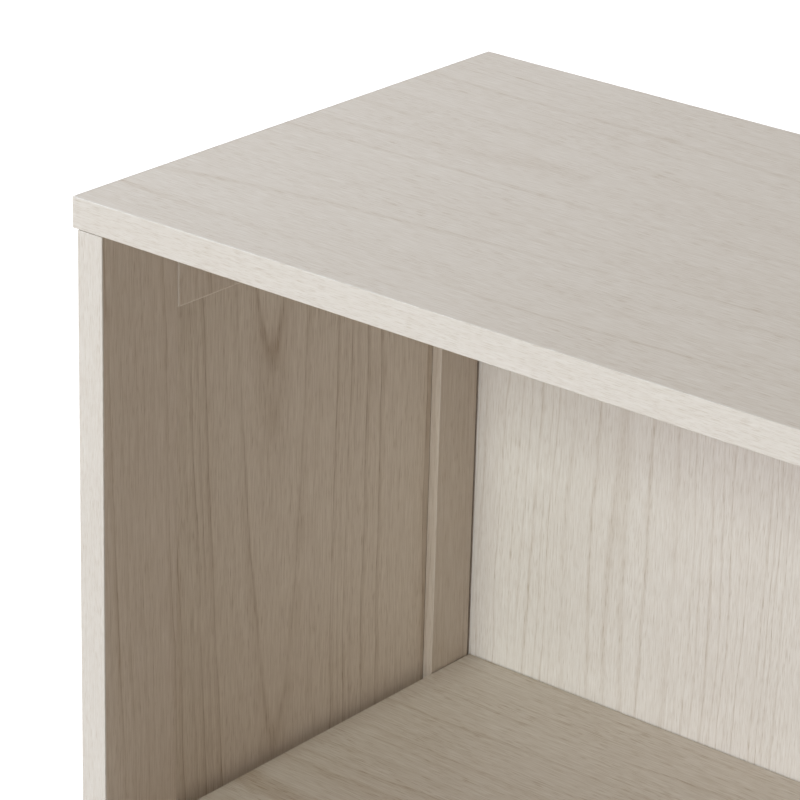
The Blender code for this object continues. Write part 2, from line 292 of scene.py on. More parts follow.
def turned(centre: np.ndarray, axis: Axis, profile: list[tuple[float, float]], sides: int) -> Shape:
    """A turned body: a profile carried round an axis.

    A point at distance s along the axis and radius r goes to s along the axis, r times the cosine of the angle
    across it and r times the sine of the angle up.

    Args:
        centre: A point on the axis, from which distances along it are counted.
        axis: The axis.
        profile: Pairs of distance along the axis and radius, from the low end to the high one.
        sides: How many flats stand for the whole circle.

    Returns:
        The closed skin.
    """
    across, up = axis.others
    angles = np.linspace(0, 2 * math.pi, sides, endpoint=False)
    along, radius = np.hsplit(np.array(profile), 2)
    rings = np.empty((len(profile), sides, 3))
    rings[..., across] = centre[across] + radius * np.cos(angles)
    rings[..., up] = centre[up] + radius * np.sin(angles)
    rings[..., axis.value] = centre[axis.value] + along
    return loft(rings)


@dataclass(frozen=True)
class Joiner:
    """Cuts openings into a piece and smooths what is left."""

    sharp_angle: float = math.radians(35)

    def carve(self, piece: Piece, openings: list[Shape]) -> None:
        """Takes closed shapes out of a piece, one after the other.

        Args:
            piece: The piece, which gets a new mesh.
            openings: What is taken out.
        """
        tools = [shape.made(f"{piece.name}_opening") for shape in openings]
        for tool in tools:
            cut = piece.modifiers.new("cut", "BOOLEAN")
            cut.operation = "DIFFERENCE"
            cut.solver = "EXACT"
            cut.object = tool
        self.settle(piece)
        for tool in tools:
            waste = tool.data
            bpy.data.objects.remove(tool)
            bpy.data.meshes.remove(waste)

    @staticmethod
    def settle(piece: Piece) -> None:
        """Puts what a piece's modifiers make of it into its mesh.

        Args:
            piece: The piece, which gets a new mesh and keeps no modifiers.
        """
        graph = bpy.context.evaluated_depsgraph_get()
        shaped = bpy.data.meshes.new_from_object(piece.evaluated_get(graph))
        rough = piece.data
        piece.modifiers.clear()
        piece.data = shaped
        bpy.data.meshes.remove(rough)
        shaped.name = piece.name

    def smooth(self, piece: Piece) -> None:
        """Shades the rounded arrises smoothly, with the flats kept flat.

        Args:
            piece: The piece.
        """
        piece.data.shade_smooth()
        piece.data.set_sharp_from_angle(angle=self.sharp_angle)
        weighted = piece.modifiers.new("flats", "WEIGHTED_NORMAL")
        weighted.keep_sharp = True
        self.settle(piece)


class Wiring:
    """Writes a tree of shader nodes, so that a finish reads as a formula."""

    MIX_COLOURS = slice(6, 8)  # a mix node's two colours among its inputs
    MIX_RESULT = 2  # and their mixture among its outputs

    def __init__(self, tree: bpy.types.NodeTree) -> None:
        """Takes up the tree to write in."""
        self.nodes, self.links = tree.nodes, tree.links

    def put(self, value: object, socket: Socket) -> None:
        """Links a socket to an input, or writes a plain value on it.

        Args:
            value: The socket or the value. A colour gets its fourth number here.
            socket: The input.
        """
        if isinstance(value, Socket):
            self.links.new(value, socket)
        else:
            socket.default_value = (*value, 1.0) if isinstance(value, tuple) else value

    def node(self, kind: str, *values: object, **settings: object) -> bpy.types.Node:
        """Adds a node.

        Args:
            kind: Its type, without the word that the types of all shader nodes begin with.
            *values: What goes on its inputs, in their order.
            **settings: Its own settings, by name.

        Returns:
            The node.
        """
        node = self.nodes.new(f"ShaderNode{kind}")
        for name, setting in settings.items():
            setattr(node, name, setting)
        for value, socket in zip(values, node.inputs):
            self.put(value, socket)
        return node

    def fill(self, node: bpy.types.Node, parts: dict[str, object]) -> bpy.types.Node:
        """Puts values on a node's inputs, by their names.

        Args:
            node: The node.
            parts: What goes on which input.

        Returns:
            The same node.
        """
        for name, value in parts.items():
            self.put(value, node.inputs[name])
        return node

    def split(self, vector: Socket) -> list[Socket]:
        """The three parts of a vector."""
        return list(self.node("SeparateXYZ", vector).outputs)

    def joined(self, *parts: Value) -> Socket:
        """A vector of three parts."""
        return self.node("CombineXYZ", *parts).outputs[0]

    def maths(self, operation: str, *values: Value) -> Socket:
        """One step of arithmetic on numbers."""
        return self.node("Math", *values, operation=operation).outputs[0]

    def noise(self, place: Socket, detail: float) -> Socket:
        """Soft noise from 0 to 1 whose cells are about one unit wide.

        Args:
            place: A vector, in cells.
            detail: How many finer layers lie on the first.

        Returns:
            The noise.
        """
        return self.fill(self.node("TexNoise", place), {"Scale": 1.0, "Detail": detail}).outputs["Fac"]

    def chance(self, number: Socket) -> Socket:
        """A value from 0 to 1 that is new for each number.

        Args:
            number: A whole number.

        Returns:
            The value.
        """
        return self.fill(self.node("TexWhiteNoise", noise_dimensions="1D"), {"W": number}).outputs["Value"]

    def swing(self, noise: Socket, size: float) -> Socket:
        """Turns noise from 0 to 1 into one between minus and plus a size."""
        return self.maths("MULTIPLY_ADD", noise, 2 * size, -size)

    def rise(self, value: Value, low: float, high: float, start: float = 0.0, end: float = 1.0) -> Socket:
        """A smooth step, from one result below a low value to another above a high one."""
        return self.node("MapRange", value, low, high, start, end, interpolation_type="SMOOTHSTEP").outputs[0]

    def mixed(self, share: Value, plain: object, full: object) -> Socket:
        """A colour between two others.

        Args:
            share: How much of the second there is, from 0 to 1.
            plain: The first colour.
            full: The second colour.

        Returns:
            The colour.
        """
        node = self.node("Mix", share, data_type="RGBA")
        for colour, socket in zip((plain, full), node.inputs[self.MIX_COLOURS]):
            self.put(colour, socket)
        return node.outputs[self.MIX_RESULT]

    def seen(self) -> Socket:
        """Whether a ray shows the background: from the camera, in a gloss or through glass.

        Returns:
            1 where it does, and 0 for the rays that light the room.
        """
        path = self.node("LightPath").outputs
        indirect = self.maths("MAXIMUM", path["Is Glossy Ray"], path["Is Transmission Ray"])
        return self.maths("MAXIMUM", path["Is Camera Ray"], indirect)


class Recipe(Wiring):
    """The nodes of one material."""

    ARRIS_STEP = (0.985, 0.75)  # the normal's longest part, from flats to the middle of an arris

    def __init__(self, name: str) -> None:
        """Starts a material with a Principled shader and the place on the piece, in its own coordinates.

        Args:
            name: The material's name.
        """
        self.material = bpy.data.materials.new(name)
        self.material.use_nodes = True
        super().__init__(self.material.node_tree)
        self.shader = self.nodes["Principled BSDF"]
        self.place = self.node("TexCoord").outputs["Object"]

    def speckle(self, rate: float, detail: float) -> Socket:
        """Noise that is the same in each direction.

        Args:
            rate: How many of its cells come to the metre.
            detail: How many finer layers lie on the first.

        Returns:
            The noise, from 0 to 1.
        """
        cells = self.fill(self.node("VectorMath", self.place, operation="SCALE"), {"Scale": rate})
        return self.noise(cells.outputs[0], detail)

    def arris(self) -> Socket:
        """How far the surface turns away from the flats.

        Returns:
            The turn, from 0 on a flat to 1 on the middle of an arris.
        """
        normal = self.split(self.node("NewGeometry").outputs["Normal"])
        lengths = [self.maths("ABSOLUTE", part) for part in normal]
        longest = self.maths("MAXIMUM", self.maths("MAXIMUM", lengths[0], lengths[1]), lengths[2])
        return self.rise(longest, *self.ARRIS_STEP)

    def finished(self, colour: Socket, rough: Socket, relief: Socket, height: float) -> Material:
        """Puts a finish's parts on the shader.

        Args:
            colour: Its colour.
            rough: Its roughness.
            relief: Its relief, from 0 to 1.
            height: How high the full relief is, in metres.

        Returns:
            The material.
        """
        bump = self.fill(self.node("Bump"), {"Strength": 1.0, "Distance": height, "Height": relief})
        self.fill(self.shader, {"Base Color": colour, "Roughness": rough, "Normal": bump.outputs["Normal"]})
        return self.material


@dataclass(frozen=True)
class Layer:
    """A layer of noise, drawn out along the grain."""

    along: float  # cells to the metre along the grain
    across: float  # cells to the metre across it
    shift: float = 0.0  # keeps it apart from the other layers
    detail: float = 1.0  # how many finer layers lie on it


@dataclass(frozen=True)
class Wood:
    """A place in a board's wood, as the nodes of its material work it out."""

    recipe: Recipe
    along: Socket  # where it lies along the grain
    across: Socket  # where it lies across it
    deep: Socket  # how far it lies under the face that shows
    seed: float

    def noise(self, layer: Layer) -> Socket:
        """A layer's noise at the place.

        Args:
            layer: The layer.

        Returns:
            The noise, from 0 to 1.
        """
        offset = self.seed + layer.shift
        cells = self.recipe.joined(
            self.recipe.maths("MULTIPLY_ADD", self.along, layer.along, offset),
            self.recipe.maths("MULTIPLY_ADD", self.across, layer.across, offset),
            self.recipe.maths("MULTIPLY", self.deep, layer.across),
        )
        return self.recipe.noise(cells, layer.detail)

    def swing(self, layer: Layer, size: float) -> Socket:
        """A layer's noise at the place, between minus and plus a size."""
        return self.recipe.swing(self.noise(layer), size)


@dataclass(frozen=True)
class Figure:
    """Where a board was sawn from its log: what its growth rings look like."""

    pith: float  # place of the heart, across the grain
    tip: float  # where along the grain a ring closes over the heart
    depth: float = 0.058  # how far the heart lies under the face there
    slope: float = 0.015  # how much deeper it lies for each metre further along
    lean: float = 0.0  # how far it strays across the grain for each metre further along
    ring: float = 0.0058  # from one growth ring to the next
    crowding: float = 0.0  # rings added by the square of the distance from the heart
    wave: float = 0.0022  # how far a ring strays from its path
    crest: float = 0.86  # where in a ring its darkest line lies
    before: float = 0.55  # how much of a ring the line's inner side takes
    after: float = 0.12  # how much of it the outer side takes
    heart: float = 1.0  # how strong the first rings are at least
    seed: float = 0.0
    twin: "Figure | None" = None  # a second heart, whose rings run into those of this one
    merging: float = 0.8  # over how many rings they do so

    def count(self, wood: Wood, across: Socket) -> Socket:
        """How many rings lie between the tip's ring and a place.

        With c the distance across the grain from the heart and h its depth, it is what the length of (c, h) has over
        the depth at the tip, counted in rings, which crowd with the square of that length.

        Args:
            wood: The place.
            across: Where it lies across the grain once the rings have strayed.

        Returns:
            The number of rings, with the tip's own ring at its crest.
        """
        maths = wood.recipe.maths
        further = maths("SUBTRACT", wood.along, self.tip)
        heart = maths("MULTIPLY_ADD", further, self.lean, self.pith)
        under = maths("ADD", maths("MULTIPLY_ADD", further, self.slope, self.depth), wood.deep)
        squares = [maths("MULTIPLY", part, part) for part in (maths("SUBTRACT", across, heart), under)]
        radius = maths("SQRT", maths("ADD", *squares))
        tip_count = self.depth / self.ring + self.depth**2 * self.crowding
        rate = maths("MULTIPLY_ADD", radius, self.crowding, 1 / self.ring)
        return maths("MULTIPLY_ADD", radius, rate, self.crest - tip_count)


@dataclass(frozen=True)
class Laminate:
    """A whitewashed wood print: rings with a soft and a sharp side, short pores, fine fibres and cloudy tone.

    A step is given as where it begins and ends, and, where they aren't 0 and 1, its results there."""

    WAVES: ClassVar[Layer] = Layer(7.0, 22.0)
    WAVE_SHARE: ClassVar[float] = 2.0
    RIPPLES: ClassVar[Layer] = Layer(30.0, 90.0, 5.0)
    RIPPLE_SHARE: ClassVar[float] = 0.4
    UNEVEN_RATE: ClassVar[float] = 0.4  # how fast the rings' spacing changes, for each ring
    UNEVEN_ROW: ClassVar[float] = 4.0  # where that change is read from the noise
    UNEVEN_RINGS: ClassVar[float] = 1.3  # by how many rings it strays at most
    UNEVEN_STEP: ClassVar[Step] = (1.0, 3.0)  # the rings over which it sets in
    STRENGTH_STEP: ClassVar[Step] = (0.0, 1.0, 0.15, 1.0)
    HEART_STEP: ClassVar[Step] = (2.6, 1.4, 0.0)  # the rings that count as the first ones
    FADES: ClassVar[Layer] = Layer(9.0, 40.0, 2.2)
    FADE_STEP: ClassVar[Step] = (0.28, 0.66, 0.35, 1.0)
    PORE_SHIFT: ClassVar[float] = 11.0
    PORE_STEP: ClassVar[Step] = (0.53, 0.70)
    PATCHES: ClassVar[Layer] = Layer(14.0, 60.0, 17.0)
    PATCH_STEP: ClassVar[Step] = (0.35, 0.65)
    MOST_PORES: ClassVar[float] = 0.8
    RING_PORE_STEP: ClassVar[Step] = (0.0, 0.6)
    FIBRE_SHIFT: ClassVar[float] = 7.1
    CLOUDS: ClassVar[Layer] = Layer(5.0, 30.0, 3.7, 2.0)
    # patchiness of the pale arrises, which are partly rubbed edges and partly a painted highlight
    WEAR_AND_HIGHLIGHT: ClassVar[Layer] = Layer(60.0, 60.0, 1.3)
    WEAR_AND_HIGHLIGHT_STEP: ClassVar[Step] = (0.3, 0.7)
    PORE_ROUGHNESS: ClassVar[float] = 0.22
    FIBRE_ROUGHNESS: ClassVar[float] = 0.3
    FIBRE_RELIEF: ClassVar[float] = 0.8
    GRAIN_HEIGHT: ClassVar[float] = 0.00006

    name: str
    grain: Axis
    across: Axis
    figure: Figure
    show: Side  # the side that was sawn as the figure says
    face: float = 0.0  # where that side lies
    wash: Colour = linear(222, 215, 206)
    shade: Colour = linear(172, 152, 130)
    ring_share: float = 0.42  # how far a ring goes from the wash to the shade
    line_share: float = 0.45  # how much of that is its darkest line's
    line_width: float = 0.07  # how many rings the line takes to each side
    pore_share: float = 0.50
    pore_rate: float = 1800.0
    pore_length: float = 0.009
    least_pores: float = 0.3
    fibre_share: float = 0.18
    fibre_rate: float = 1000.0
    fibre_length: float = 0.016
    cloud_share: float = 0.06
    roughness: float = 0.46
    # pale colour on the rounded arrises: edge wear, and a painted highlight where light would catch them
    wear_and_highlight: Colour = linear(238, 233, 226)
    least_wear_and_highlight: float = 0.2
    most_wear_and_highlight: float = 0.6

    def material(self) -> Material:
        """Writes the print's nodes.

        Returns:
            The material.
        """
        recipe = Recipe(self.name)
        maths = recipe.maths
        place = recipe.split(recipe.place)
        through, way = self.show.value
        deep = maths("MULTIPLY_ADD", place[through], -way, way * self.face)
        wood = Wood(recipe, place[self.grain.value], place[self.across.value], deep, self.figure.seed)
        ring_dark = self.rings(wood)
        pores = self.pores(wood, ring_dark)
        fibre = wood.swing(Layer(1 / self.fibre_length, self.fibre_rate, self.FIBRE_SHIFT, 2.0), self.fibre_share)
        dark = maths("MULTIPLY_ADD", pores, self.pore_share, maths("MULTIPLY", ring_dark, self.ring_share))
        for part in (fibre, wood.swing(self.CLOUDS, self.cloud_share), self.fibre_share):
            dark = maths("ADD", dark, part)
        colour = recipe.mixed(maths("MAXIMUM", dark, 0.0), self.wash, self.shade)
        # the arrises are lightened: partly edge wear, partly a painted highlight
        worn_and_lit = recipe.rise(wood.noise(self.WEAR_AND_HIGHLIGHT), *self.WEAR_AND_HIGHLIGHT_STEP, self.least_wear_and_highlight, self.most_wear_and_highlight)
        colour = recipe.mixed(maths("MULTIPLY", recipe.arris(), worn_and_lit), colour, self.wear_and_highlight)
        rough = maths("MULTIPLY_ADD", pores, self.PORE_ROUGHNESS, self.roughness)
        rough = maths("ADD", rough, maths("MULTIPLY", fibre, self.FIBRE_ROUGHNESS))
        relief = maths("SUBTRACT", maths("MULTIPLY", fibre, self.FIBRE_RELIEF), pores)
        return recipe.finished(colour, rough, relief, self.GRAIN_HEIGHT)

    def rings(self, wood: Wood) -> Socket:
        """How dark the growth rings are.

        Args:
            wood: The place.

        Returns:
            The darkness, from 0 to 1.
        """
        recipe, figure = wood.recipe, self.figure
        maths, rise = recipe.maths, recipe.rise
        wave = wood.swing(self.WAVES, figure.wave * self.WAVE_SHARE)
        ripple = wood.swing(self.RIPPLES, figure.wave * self.RIPPLE_SHARE)
        strayed = maths("ADD", wood.across, maths("ADD", wave, ripple))
        out = figure.count(wood, strayed)
        if figure.twin:
            out = maths("SMOOTH_MIN", out, figure.twin.count(wood, strayed), figure.merging)
        row = recipe.joined(maths("MULTIPLY", out, self.UNEVEN_RATE), figure.seed, self.UNEVEN_ROW)
        uneven = recipe.swing(recipe.noise(row, 0.0), self.UNEVEN_RINGS)
        count = maths("MULTIPLY_ADD", uneven, rise(out, *self.UNEVEN_STEP), out)
        strength = recipe.chance(maths("ADD", maths("FLOOR", count), figure.seed))
        first = rise(count, *self.HEART_STEP, figure.heart)
        strength = maths("MAXIMUM", rise(strength, *self.STRENGTH_STEP), first)
        fade = rise(wood.noise(self.FADES), *self.FADE_STEP)
        share = maths("FRACT", count)
        inner = rise(share, figure.crest - figure.before, figure.crest)
        outer = rise(share, figure.crest + figure.after, figure.crest)
        line = rise(maths("ABSOLUTE", maths("SUBTRACT", share, figure.crest)), self.line_width, 0.0)
        soft = maths("MULTIPLY", maths("MULTIPLY", inner, outer), 1 - self.line_share)
        dark = maths("MULTIPLY_ADD", line, self.line_share, soft)
        return maths("MULTIPLY", maths("MULTIPLY", dark, strength), fade)

    def pores(self, wood: Wood, ring_dark: Socket) -> Socket:
        """Short strokes along the grain, thickest where a ring is dark.

        Args:
            wood: The place.
            ring_dark: How dark the ring is there.

        Returns:
            The strokes, from 0 to 1.
        """
        recipe = wood.recipe
        layer = Layer(1 / self.pore_length, self.pore_rate, self.PORE_SHIFT)
        strokes = recipe.rise(wood.noise(layer), *self.PORE_STEP)
        patch = recipe.rise(wood.noise(self.PATCHES), *self.PATCH_STEP, self.least_pores, self.MOST_PORES)
        crowd = recipe.maths("MAXIMUM", patch, recipe.rise(ring_dark, *self.RING_PORE_STEP))
        return recipe.maths("MULTIPLY", strokes, crowd)


@dataclass(frozen=True)
class Metal:
    """Zinc-coloured metal, cast or plated, with cloudy gloss and fine scratches."""

    name: str
    colour: Colour
    stain: Colour
    roughness: float
    grit_rate: float
    relief: float
    cloud_rate: float = 320.0
    stain_step: Step = (0.42, 0.74, 0.0, 0.8)
    cloud_roughness: float = 0.28
    grit_roughness: float = 0.12

    def material(self) -> Material:
        """Writes the metal's nodes.

        Returns:
            The material.
        """
        recipe = Recipe(self.name)
        cloud = recipe.speckle(self.cloud_rate, 3.0)
        grit = recipe.speckle(self.grit_rate, 2.0)
        colour = recipe.mixed(recipe.rise(cloud, *self.stain_step), self.colour, self.stain)
        rough = recipe.maths("MULTIPLY_ADD", cloud, self.cloud_roughness, self.roughness)
        rough = recipe.maths("MULTIPLY_ADD", grit, self.grit_roughness, rough)
        recipe.fill(recipe.shader, {"Metallic": 1.0})
        return recipe.finished(colour, rough, grit, self.relief)


@dataclass(frozen=True)
class Beech:
    """Turned beech, with short dark flecks along its length."""

    name: str
    wood: Colour = linear(205, 166, 122)
    fleck: Colour = linear(150, 103, 66)
    rates: tuple[float, float, float] = (220.0, 1900.0, 1900.0)
    fleck_step: Step = (0.48, 0.72)
    roughness: float = 0.6
    fleck_roughness: float = 0.15
    relief: float = 0.00004

    def material(self) -> Material:
        """Writes the wood's nodes.

        Returns:
            The material.
        """
        recipe = Recipe(self.name)
        parts = zip(recipe.split(recipe.place), self.rates)
        cells = recipe.joined(*(recipe.maths("MULTIPLY", part, rate) for part, rate in parts))
        flecks = recipe.rise(recipe.noise(cells, 2.0), *self.fleck_step)
        colour = recipe.mixed(flecks, self.wood, self.fleck)
        rough = recipe.maths("MULTIPLY_ADD", flecks, self.fleck_roughness, self.roughness)
        return recipe.finished(colour, rough, flecks, self.relief)


@dataclass(frozen=True)
class GlidePlastic:
    """Moulded plastic of a foot, with a fine spark-eroded skin and scuffs where it has slid."""

    name: str
    colour: Colour = linear(196, 190, 180)
    scuff: Colour = linear(132, 124, 113)
    worn_height: float = 0.0016
    skin_rate: float = 3600.0
    patch_rate: float = 420.0
    patch_step: Step = (0.38, 0.62)
    roughness: float = 0.42
    skin_roughness: float = 0.2
    relief: float = 0.00002

    def material(self) -> Material:
        """Writes the plastic's nodes.

        Returns:
            The material.
        """
        recipe = Recipe(self.name)
        skin = recipe.speckle(self.skin_rate, 2.0)
        patches = recipe.rise(recipe.speckle(self.patch_rate, 3.0), *self.patch_step)
        low = recipe.rise(recipe.split(recipe.place)[Axis.HEIGHT.value], self.worn_height, 0.0)
        colour = recipe.mixed(recipe.maths("MULTIPLY", low, patches), self.colour, self.scuff)
        rough = recipe.maths("MULTIPLY_ADD", skin, self.skin_roughness, self.roughness)
        return recipe.finished(colour, rough, skin, self.relief)


@dataclass
class Board:
    """One board: an eased length of stock, opened for what it holds, with its edge bands."""

    node: str
    length: Axis
    laminate: Laminate
    bands: tuple[Side, ...] = ()
    slot: str = BOARD_SLOT
    stopped: bool = False  # whether its grooves end inside it
    ease: float = 0.00028
    ease_steps: int = 3
    band_thick: float = 0.0008
    band_ease: float = 0.0004
    clearance: float = 0.0003
    chamfer: float = 0.0006
    joint: float = 0.0  # how far the board stays clear of what it meets on the joint's sides
    joint_sides: tuple[Side, ...] = ()
    overrun: float = 0.002  # how far a cut runs on past the board
    mouth_limit: float = 0.0006  # a hole that ends nearer than this to a face is open there
    lip: float = 0.0004
    hole_sides: int = 32
    band_seed: float = 31.0  # keeps the bands' print apart from the board's
    joiner: Joiner = field(default_factory=Joiner)

    @property
    def cut_ease(self) -> float:
        """The rounding in a groove's corners."""
        return self.clearance / 4

    def build(self) -> list[Piece]:
        """Builds the board and its bands.

        Returns:
            The finished pieces, dressed.
        """
        whole = Block.of(self.node)
        stock = whole
        for side in self.bands:
            stock = stock.trimmed(side, self.band_thick)
        for side in self.joint_sides:
            stock = stock.trimmed(side, self.joint)
        board = eased_block(stock, self.length, self.ease, self.ease_steps).made(f"{self.node}_board")
        self.joiner.carve(board, self.openings(whole))
        self.joiner.smooth(board)
        board.data.materials.append(replace(self.laminate, face=whole.face(self.laminate.show)).material())
        pieces = [board]
        remaining = whole
        for side in self.bands:
            pieces.append(self.band(remaining, side))
            remaining = remaining.trimmed(side, self.band_thick)
        for piece in pieces:
            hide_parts(self.node)
        return pieces

    def band(self, block: Block, side: Side) -> Piece:
        """The edge band on one side: a strip whose two outer arrises are rounded.

        Args:
            block: What the board and the bands that are still to come fill.
            side: The side that the band covers.

        Returns:
            The band's object.
        """
        strip = block.strip(side, self.band_thick)
        faced, way = side.value
        length = Axis(int(np.argmax(strip.size)))
        outer = CORNERS[:, length.others.index(faced)] == way
        shape = eased_block(strip, length, self.band_ease, self.ease_steps + 1, tuple(outer.tolist()))
        piece = shape.made(f"{self.node}_{side.name.lower()}_band")
        self.joiner.smooth(piece)
        across = next(axis for axis in Axis if axis is not length and axis.value != faced)
        seed = self.laminate.figure.seed + self.band_seed + faced
        figure = Figure(pith=0.4, tip=0.0, ring=0.0017, wave=0.0012, seed=seed)
        # the band's outer arrises get a little painted highlight and edge wear
        finish = Laminate(
            f"{piece.name}_finish", length, across, figure, side, strip.face(side), wash=linear(222, 217, 212),
            ring_share=0.10, pore_share=0.34, pore_rate=3400.0, pore_length=0.006, least_wear_and_highlight=0.0, most_wear_and_highlight=0.3,
            least_pores=0.7,
        )
        piece.data.materials.append(finish.material())
        return piece

    def openings(self, block: Block) -> list[Shape]:
        """The grooves and holes that this board needs.

        Args:
            block: The space that the whole board fills.

        Returns:
            Closed shapes to take out of it.
        """
        shapes = []
        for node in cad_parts:
            guest = Block.of(node)
            if node == self.node or not block.meets(guest):
                continue
            if node.endswith(tuple(THIN_PANELS)):
                play = next(play for name, play in THIN_PANELS.items() if node.endswith(name))
                shapes.append(self.groove(block, guest, play))
            elif node.endswith(("_cam_lock", "_cam_bolt", "_dowel")):
                shapes.append(self.hole(block, guest, node.endswith("_lock")))
            elif node.endswith("_stile") and not self.node.endswith(tuple(THIN_PANELS)):
                shapes += self.cheeks(block, guest)
        return shapes

    def cheeks(self, block: Block, stile: Block) -> list[Shape]:
        """What is cut away beside a rail's tongue where it runs into a stile, and a chamfer along each shoulder.

        Args:
            block: The space that the rail fills, with its tongues.
            stile: The space that the stile fills.

        Returns:
            The closed shapes of the two cheeks and the two chamfers.
        """
        panel = Block.of(f"{self.node.split('_')[0]}_side_panel")
        low, high = block.face(Side.UNDER) - self.overrun, block.face(Side.UPPER) + self.overrun
        room = stile.grown(self.clearance).stretched(Axis.HEIGHT, low, high)
        inner = room.stretched(Axis.WIDTH, block.face(Side.LEFT) - self.overrun, panel.face(Side.LEFT))
        outer = room.stretched(Axis.WIDTH, panel.face(Side.RIGHT), block.face(Side.RIGHT) + self.overrun)
        shapes = [eased_block(cheek, self.length, self.cut_ease, 1) for cheek in (inner, outer)]
        shoulder = room.face(Side.REAR if stile.face(Side.FRONT) < block.face(Side.FRONT) else Side.FRONT)
        for side in (Side.LEFT, Side.RIGHT):
            corner = np.array((block.face(side), shoulder, 0.0))
            shapes.append(turned(corner, Axis.HEIGHT, rod(low, high, self.chamfer), 4))
        return shapes

    def groove(self, block: Block, guest: Block, play: float) -> Shape:
        """A groove for a thin panel, run through along the board unless it is stopped.

        Args:
            block: The space that the whole board fills.
            guest: The space that the panel fills.
            play: The room around the panel.

        Returns:
            The groove's closed shape.
        """
        room = guest.grown(play)
        if not self.stopped:
            axis = self.length.value
            room = room.stretched(self.length, block.low[axis] - self.overrun, block.high[axis] + self.overrun)
        return eased_block(room, self.length, self.cut_ease, 1)

    def hole(self, block: Block, guest: Block, lipped: bool) -> Shape:
        """A round hole for a fitting, open on each side of the board that the fitting comes close to.

        Args:
            block: The space that the whole board fills.
            guest: The space that the fitting fills.
            lipped: Whether the mouth is chamfered.

        Returns:
            The hole's closed shape.
        """
        odd = int(np.argmax(np.abs(guest.size - np.median(guest.size))))
        radius = float(np.median(guest.size)) / 2 + self.clearance
        low = guest.low[odd] - self.clearance
        high = guest.high[odd] + self.clearance
        bottom, top = block.low[odd], block.high[odd]
        profile = rod(low, high, radius)
        if guest.low[odd] < bottom + self.mouth_limit:
            start = bottom - self.overrun
            mouth = [(start, radius + self.lip), (bottom, radius + self.lip), (bottom + self.lip, radius)]
            profile = [(start, 0.0), *(mouth if lipped else [(start, radius)]), *profile[2:]]
        elif guest.high[odd] > top - self.mouth_limit:
            end = top + self.overrun
            mouth = [(top - self.lip, radius), (top, radius + self.lip), (end, radius + self.lip)]
            profile = [*profile[:2], *(mouth if lipped else [(end, radius)]), (end, 0.0)]
        return turned(guest.line(odd), Axis(odd), profile, self.hole_sides)


@dataclass
class SideFrame:
    """One side: two stiles, two rails and the thin panel between them."""

    hand: str
    seed: float
    stile_ease: float = 0.0004
    panel_ease: float = 0.0002
    rail_ease: float = 0.0014
    rail_ease_steps: int = 9
    wash: Colour = linear(226, 215, 203)
    # painted shade: the rear stile's print is darker than the front stile's because it lies deep inside, in shade
    rear_shaded_wash: Colour = linear(219, 209, 197)
    panel_wash: Colour = linear(239, 230, 218)
    # painted highlight: the rails' arrises are lightened strongly, for a light line along their edges, with a little
    # edge wear
    rail_wear_and_highlight: Colour = linear(250, 244, 236)

    def build(self) -> list[Piece]:
        """Builds the five boards of this side.

        Returns:
            The finished pieces.
        """
        pieces = []
        for part in ("front_stile", "rear_stile", "top_rail", "bottom_rail", "side_panel"):
            pieces += self.board(f"{self.hand}_{part}").build()
        return pieces

    def board(self, node: str) -> Board:
        """Plans one board.

        Args:
            node: Its node.

        Returns:
            The board.
        """
        finish = self.finish(node)
        if node.endswith("_side_panel"):
            finish = replace(finish, wash=self.panel_wash)
            return Board(node, Axis.HEIGHT, finish, slot=PANEL_SLOT, ease=self.panel_ease)
        if node.endswith("_rail"):
            # a strong painted highlight along the rail's rounded edges
            finish = replace(finish, wear_and_highlight=self.rail_wear_and_highlight, least_wear_and_highlight=0.5, most_wear_and_highlight=0.7)
            return Board(node, Axis.DEPTH, finish, ease=self.rail_ease, ease_steps=self.rail_ease_steps)
        if node.endswith("_rear_stile"):
            # the rear stile takes the darker wash, which is painted shade
            return Board(node, Axis.HEIGHT, replace(finish, wash=self.rear_shaded_wash), ease=self.stile_ease)
        return Board(node, Axis.HEIGHT, finish, (Side.FRONT,), ease=self.stile_ease)

    def finish(self, node: str) -> Laminate:
        """The print of this side, whose figure runs on from board to board.

        Args:
            node: The board's node.

        Returns:
            The print.
        """
        figure = Figure(
            pith=-0.026, tip=0.9456, depth=0.055, slope=-0.024, lean=-0.026, ring=0.0050, crest=0.14, before=0.12,
            after=0.62, heart=0.6, seed=self.seed,
        )
        return Laminate(
            f"{node}_finish", Axis.HEIGHT, Axis.DEPTH, figure, Side.RIGHT if self.hand == "left" else Side.LEFT,
            wash=self.wash, ring_share=0.52, line_share=0.55, pore_share=0.34, pore_rate=2100.0, least_pores=0.5,
            fibre_share=0.32, fibre_length=0.022,
        )


